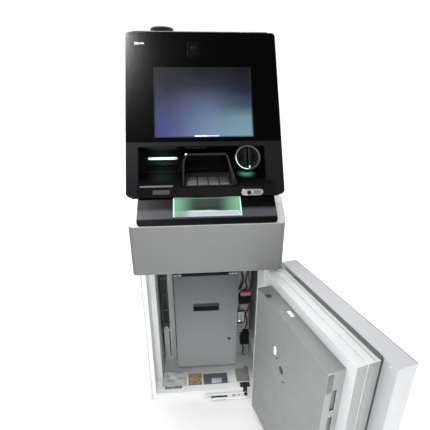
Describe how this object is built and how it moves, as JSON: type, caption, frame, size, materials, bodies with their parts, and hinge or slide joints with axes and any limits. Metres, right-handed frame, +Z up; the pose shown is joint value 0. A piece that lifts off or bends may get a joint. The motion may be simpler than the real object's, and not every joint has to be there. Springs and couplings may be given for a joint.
{
  "type": "free-standing cash machine",
  "caption": "Free-standing cash machine with a tilted black front, keypad, card reader and tray above a steel safe whose swing door stands open on a slide-out dispenser.",
  "frame": {"origin": "centre of the four floor-anchor holes, on the floor under the safe", "axes": "+Z up, -Y towards the customer (the front), +X to the customer's right"},
  "size_m": [0.6573, 1.0237, 1.316],
  "materials": {
    "safe_paint": "satin light grey",
    "cabinet_paint": "fine-textured off-white",
    "door_paint": "satin mid grey",
    "charcoal_metal": "satin charcoal",
    "tray_plastic": "translucent, lit green from behind",
    "black_plastic": "fine texture",
    "gland_plastic": "moulded",
    "plated_steel": "zinc plated",
    "dark_steel": "dark plated",
    "grey_metal": "satin grey",
    "rack_paint": "satin grey-green",
    "module_plastic": "moulded",
    "gasket_rubber": "matte",
    "lock_brass": "satin",
    "dial_plastic": "knurled",
    "white_paint": "gloss white",
    "black_glass": "gloss black",
    "lit_screen": "lit display with a plain colour gradient",
    "bezel_plastic": "satin charcoal",
    "key_metal": "satin"
  },
  "bodies": {
    "cabinet": {"safe_body": "safe_paint", "upper_cabinet": "cabinet_paint", "apron_cover": "cabinet_paint", "console_shelf": "charcoal_metal", "cash_tray": "tray_plastic", "antenna_puck": "black_plastic", "cable_gland": "gland_plastic", "hinge_fixed": "plated_steel", "fascia_brackets": "plated_steel", "strike_plate": "dark_steel", "stay_bracket": "dark_steel", "slide_rails": "plated_steel", "cable_duct": "black_plastic", "side_channels": "grey_metal", "outlet_box": "black_plastic", "control_unit": "grey_metal", "power_supply": "grey_metal", "note_transport": "module_plastic"},
    "door": {"safe_door": "door_paint", "door_pan": "door_paint", "door_gasket": "gasket_rubber", "boltwork_cover": "door_paint", "hinge_door": "plated_steel", "lock_case": "lock_brass"},
    "bolts": {"bolt_bar": "plated_steel"},
    "handle": {"lever_handle": "dark_steel"},
    "dial_knob": {"dial": "dial_plastic"},
    "stay": {"stay_arm": "white_paint"},
    "shutter": {"cash_shutter": "tray_plastic"},
    "rack": {"rack_frame": "rack_paint", "rack_cover": "rack_paint", "rack_handle": "black_plastic", "cassette": "module_plastic", "pick_unit": "module_plastic"},
    "fascia": {"fascia_frame": "black_plastic", "screen_glass": "black_glass", "display_panel": "lit_screen", "lower_bezel": "bezel_plastic", "console_tub": "black_plastic", "keypad_base": "key_metal", "keypad_shield": "charcoal_metal", "receipt_printer": "module_plastic", "card_bezel": "black_glass", "card_reader": "module_plastic"},
    "key_11_cap": {"key_11": "key_metal"},
    "key_12_cap": {"key_12": "key_metal"},
    "key_13_cap": {"key_13": "key_metal"},
    "key_14_cap": {"key_14": "key_metal"},
    "key_21_cap": {"key_21": "key_metal"},
    "key_22_cap": {"key_22": "key_metal"},
    "key_23_cap": {"key_23": "key_metal"},
    "key_24_cap": {"key_24": "key_metal"},
    "key_31_cap": {"key_31": "key_metal"},
    "key_32_cap": {"key_32": "key_metal"},
    "key_33_cap": {"key_33": "key_metal"},
    "key_34_cap": {"key_34": "key_metal"},
    "key_41_cap": {"key_41": "key_metal"},
    "key_42_cap": {"key_42": "key_metal"},
    "key_43_cap": {"key_43": "key_metal"},
    "key_44_cap": {"key_44": "key_metal"}
  },
  "joints": [
    {"name": "door_hinge", "type": "hinge", "parent": "cabinet", "child": "door", "pos_m": [0.2383, -0.2727, 0.31], "axis": [0, 0, 1], "range_deg": [-104.6, 12]},
    {"name": "handle_turn", "type": "hinge", "parent": "door", "child": "handle", "pos_m": [0.25572, -0.57642, 0.29], "axis": [-0.9677, -0.2521, 0], "range_deg": [0, 80]},
    {"name": "bolt_slide", "type": "slide", "parent": "door", "child": "bolts", "axis": [0.2521, -0.9677, 0], "range_m": [0, 0.024]},
    {"name": "dial_spin", "type": "hinge", "parent": "door", "child": "dial_knob", "pos_m": [0.26202, -0.60061, 0.395], "axis": [0.9677, 0.2521, 0], "continuous": true},
    {"name": "stay_swing", "type": "hinge", "parent": "cabinet", "child": "stay", "pos_m": [0.14, -0.292, 0.0105], "axis": [0, 0, 1], "range_deg": [0, 95]},
    {"name": "shutter_slide", "type": "slide", "parent": "cabinet", "child": "shutter", "axis": [0, 0, -1], "range_m": [0, 0.03]},
    {"name": "rack_slide", "type": "slide", "parent": "cabinet", "child": "rack", "axis": [0, -1, 0], "range_m": [0, 0.3]},
    {"name": "fascia_lift", "type": "hinge", "parent": "cabinet", "child": "fascia", "pos_m": [0, 0.058, 1.29], "axis": [-1, 0, 0], "range_deg": [0, 50]},
    {"name": "key_11_press", "type": "slide", "parent": "fascia", "child": "key_11_cap", "axis": [0, 0.2419, -0.9703], "range_m": [0, 0.002], "stiffness_N_per_m": 400, "springref_m": -0.003},
    {"name": "key_12_press", "type": "slide", "parent": "fascia", "child": "key_12_cap", "axis": [0, 0.2419, -0.9703], "range_m": [0, 0.002], "stiffness_N_per_m": 400, "springref_m": -0.003},
    {"name": "key_13_press", "type": "slide", "parent": "fascia", "child": "key_13_cap", "axis": [0, 0.2419, -0.9703], "range_m": [0, 0.002], "stiffness_N_per_m": 400, "springref_m": -0.003},
    {"name": "key_14_press", "type": "slide", "parent": "fascia", "child": "key_14_cap", "axis": [0, 0.2419, -0.9703], "range_m": [0, 0.002], "stiffness_N_per_m": 400, "springref_m": -0.003},
    {"name": "key_21_press", "type": "slide", "parent": "fascia", "child": "key_21_cap", "axis": [0, 0.2419, -0.9703], "range_m": [0, 0.002], "stiffness_N_per_m": 400, "springref_m": -0.003},
    {"name": "key_22_press", "type": "slide", "parent": "fascia", "child": "key_22_cap", "axis": [0, 0.2419, -0.9703], "range_m": [0, 0.002], "stiffness_N_per_m": 400, "springref_m": -0.003},
    {"name": "key_23_press", "type": "slide", "parent": "fascia", "child": "key_23_cap", "axis": [0, 0.2419, -0.9703], "range_m": [0, 0.002], "stiffness_N_per_m": 400, "springref_m": -0.003},
    {"name": "key_24_press", "type": "slide", "parent": "fascia", "child": "key_24_cap", "axis": [0, 0.2419, -0.9703], "range_m": [0, 0.002], "stiffness_N_per_m": 400, "springref_m": -0.003},
    {"name": "key_31_press", "type": "slide", "parent": "fascia", "child": "key_31_cap", "axis": [0, 0.2419, -0.9703], "range_m": [0, 0.002], "stiffness_N_per_m": 400, "springref_m": -0.003},
    {"name": "key_32_press", "type": "slide", "parent": "fascia", "child": "key_32_cap", "axis": [0, 0.2419, -0.9703], "range_m": [0, 0.002], "stiffness_N_per_m": 400, "springref_m": -0.003},
    {"name": "key_33_press", "type": "slide", "parent": "fascia", "child": "key_33_cap", "axis": [0, 0.2419, -0.9703], "range_m": [0, 0.002], "stiffness_N_per_m": 400, "springref_m": -0.003},
    {"name": "key_34_press", "type": "slide", "parent": "fascia", "child": "key_34_cap", "axis": [0, 0.2419, -0.9703], "range_m": [0, 0.002], "stiffness_N_per_m": 400, "springref_m": -0.003},
    {"name": "key_41_press", "type": "slide", "parent": "fascia", "child": "key_41_cap", "axis": [0, 0.2419, -0.9703], "range_m": [0, 0.002], "stiffness_N_per_m": 400, "springref_m": -0.003},
    {"name": "key_42_press", "type": "slide", "parent": "fascia", "child": "key_42_cap", "axis": [0, 0.2419, -0.9703], "range_m": [0, 0.002], "stiffness_N_per_m": 400, "springref_m": -0.003},
    {"name": "key_43_press", "type": "slide", "parent": "fascia", "child": "key_43_cap", "axis": [0, 0.2419, -0.9703], "range_m": [0, 0.002], "stiffness_N_per_m": 400, "springref_m": -0.003},
    {"name": "key_44_press", "type": "slide", "parent": "fascia", "child": "key_44_cap", "axis": [0, 0.2419, -0.9703], "range_m": [0, 0.002], "stiffness_N_per_m": 400, "springref_m": -0.003}
  ],
  "couplings": [
    {"joint": "bolt_slide", "follows": "handle_turn", "m_per_rad": 0.01718}
  ]
}
